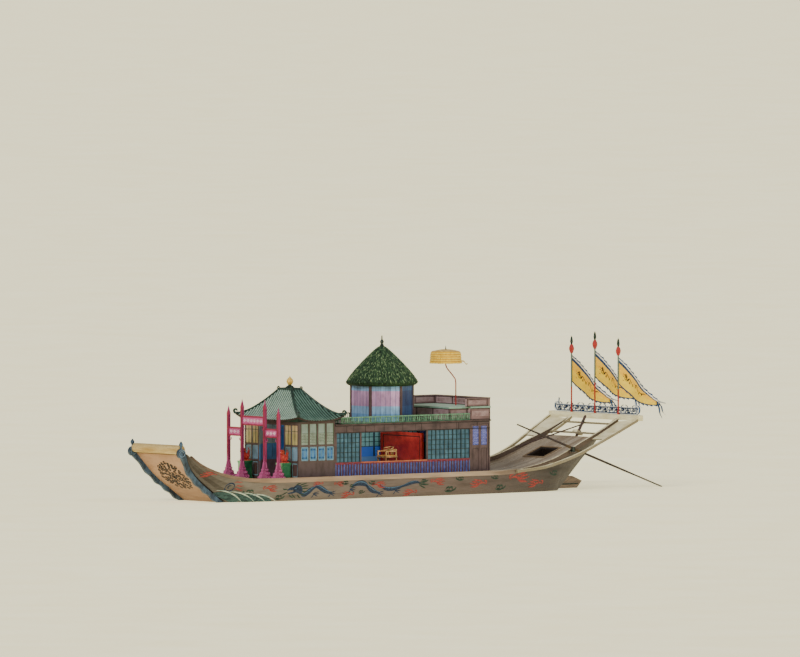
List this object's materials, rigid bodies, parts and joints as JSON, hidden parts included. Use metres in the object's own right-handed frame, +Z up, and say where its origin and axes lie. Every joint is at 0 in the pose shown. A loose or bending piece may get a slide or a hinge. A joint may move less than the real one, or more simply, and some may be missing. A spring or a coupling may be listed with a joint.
{
  "type": "dragon boat",
  "caption": "Ceremonial river dragon barge with a flat raked bow, tiled front pavilion, lattice-windowed cabin, thatched roof tower, flags over a flared stern, rudder and long sweep oar.",
  "frame": {"origin": "the hull's flat bottom, at mid-length on the centre line", "axes": "+X to the bow, +Y to port, +Z up; the waterline is at Z = 0.55"},
  "size_m": [21.8539, 5.3433, 6.26],
  "materials": {
    "hull_paint": "painted, weathered",
    "bow_paint": "painted",
    "slate_paint": "painted",
    "pale_wood": "painted, pale",
    "brown_wood": "oiled, dark",
    "pink_paint": "painted",
    "green_paint": "painted",
    "red_paint": "lacquered",
    "tile": "glazed tile",
    "gold": "gilt",
    "blue_paint": "painted",
    "violet_paint": "painted",
    "thatch": "leafy thatch",
    "tower_paint": "painted in bands",
    "dark_metal": "dark",
    "house_paint": "painted",
    "pale_green": "painted",
    "yellow_silk": "silk",
    "oar_wood": "oiled, dark"
  },
  "bodies": {
    "barge": {"aft_house_slab": "pale_green", "aft_house_wall": "house_paint", "aft_parapet": "house_paint", "armchair": "pale_wood", "baluster_panel_port": "violet_paint", "baluster_panel_starboard": "violet_paint", "beast_port": "red_paint", "beast_starboard": "red_paint", "bow_board": "bow_paint", "bow_cheek_port": "slate_paint", "bow_cheek_starboard": "slate_paint", "bow_roll": "pale_wood", "cabin_roof": "brown_wood", "cabin_wall_aft": "brown_wood", "cabin_wall_port": "brown_wood", "cabin_wall_starboard": "brown_wood", "dais": "brown_wood", "flag_middle": "yellow_silk", "flag_port": "yellow_silk", "flag_starboard": "yellow_silk", "flagpole_middle": "red_paint", "flagpole_port": "red_paint", "flagpole_starboard": "red_paint", "gateway": "pink_paint", "gunwale_port": "pale_wood", "gunwale_starboard": "pale_wood", "hull": "hull_paint", "inner_screen": "blue_paint", "parasol_canopy": "yellow_silk", "parasol_pole": "red_paint", "pavilion_finial": "gold", "pavilion_front": "brown_wood", "pavilion_roof": "tile", "pavilion_side_port": "brown_wood", "pavilion_side_starboard": "brown_wood", "pedestal_port": "green_paint", "pedestal_starboard": "green_paint", "red_screen": "red_paint", "roof_rail": "green_paint", "scroll_rail": "blue_paint", "stern_bulwark_port": "pale_wood", "stern_bulwark_starboard": "pale_wood", "stern_frame": "pale_wood", "stern_rail_port": "pale_wood", "stern_rail_starboard": "pale_wood", "tower_roof": "thatch", "tower_spire": "dark_metal", "tower_wall": "tower_paint"},
    "rudder": {"rudder": "oar_wood"},
    "rowlock": {"rowlock": "dark_metal"},
    "sweep": {"sweep": "oar_wood"},
    "door_port_aft": {"door_port_aft": "brown_wood"},
    "door_port_fore": {"door_port_fore": "brown_wood"},
    "door_starboard_aft": {"door_starboard_aft": "brown_wood"},
    "door_starboard_fore": {"door_starboard_fore": "brown_wood"}
  },
  "joints": [
    {"name": "rudder_turn", "type": "hinge", "parent": "barge", "child": "rudder", "pos_m": [-9.13, 0, 2.53], "axis": [-0.5, 0, 0.866], "range_deg": [-30, 30]},
    {"name": "rowlock_swing", "type": "hinge", "parent": "barge", "child": "rowlock", "pos_m": [-7.5, 1.76, 2.07], "axis": [0, 0, 1], "range_deg": [-12, 12]},
    {"name": "sweep_dip", "type": "hinge", "parent": "rowlock", "child": "sweep", "pos_m": [-7.5, 1.76, 2.07], "axis": [-0.2588, -0.9659, 0], "range_deg": [-6, 6]},
    {"name": "door_port_aft_swing", "type": "hinge", "parent": "barge", "child": "door_port_aft", "pos_m": [-3.794, 1.535, 1.31], "axis": [0, 0, 1], "range_deg": [-90, 0]},
    {"name": "door_port_fore_swing", "type": "hinge", "parent": "barge", "child": "door_port_fore", "pos_m": [-3.056, 1.535, 1.31], "axis": [0, 0, 1], "range_deg": [0, 90]},
    {"name": "door_starboard_aft_swing", "type": "hinge", "parent": "barge", "child": "door_starboard_aft", "pos_m": [-3.794, -1.535, 1.31], "axis": [0, 0, 1], "range_deg": [0, 90]},
    {"name": "door_starboard_fore_swing", "type": "hinge", "parent": "barge", "child": "door_starboard_fore", "pos_m": [-3.056, -1.535, 1.31], "axis": [0, 0, 1], "range_deg": [-90, 0]}
  ]
}
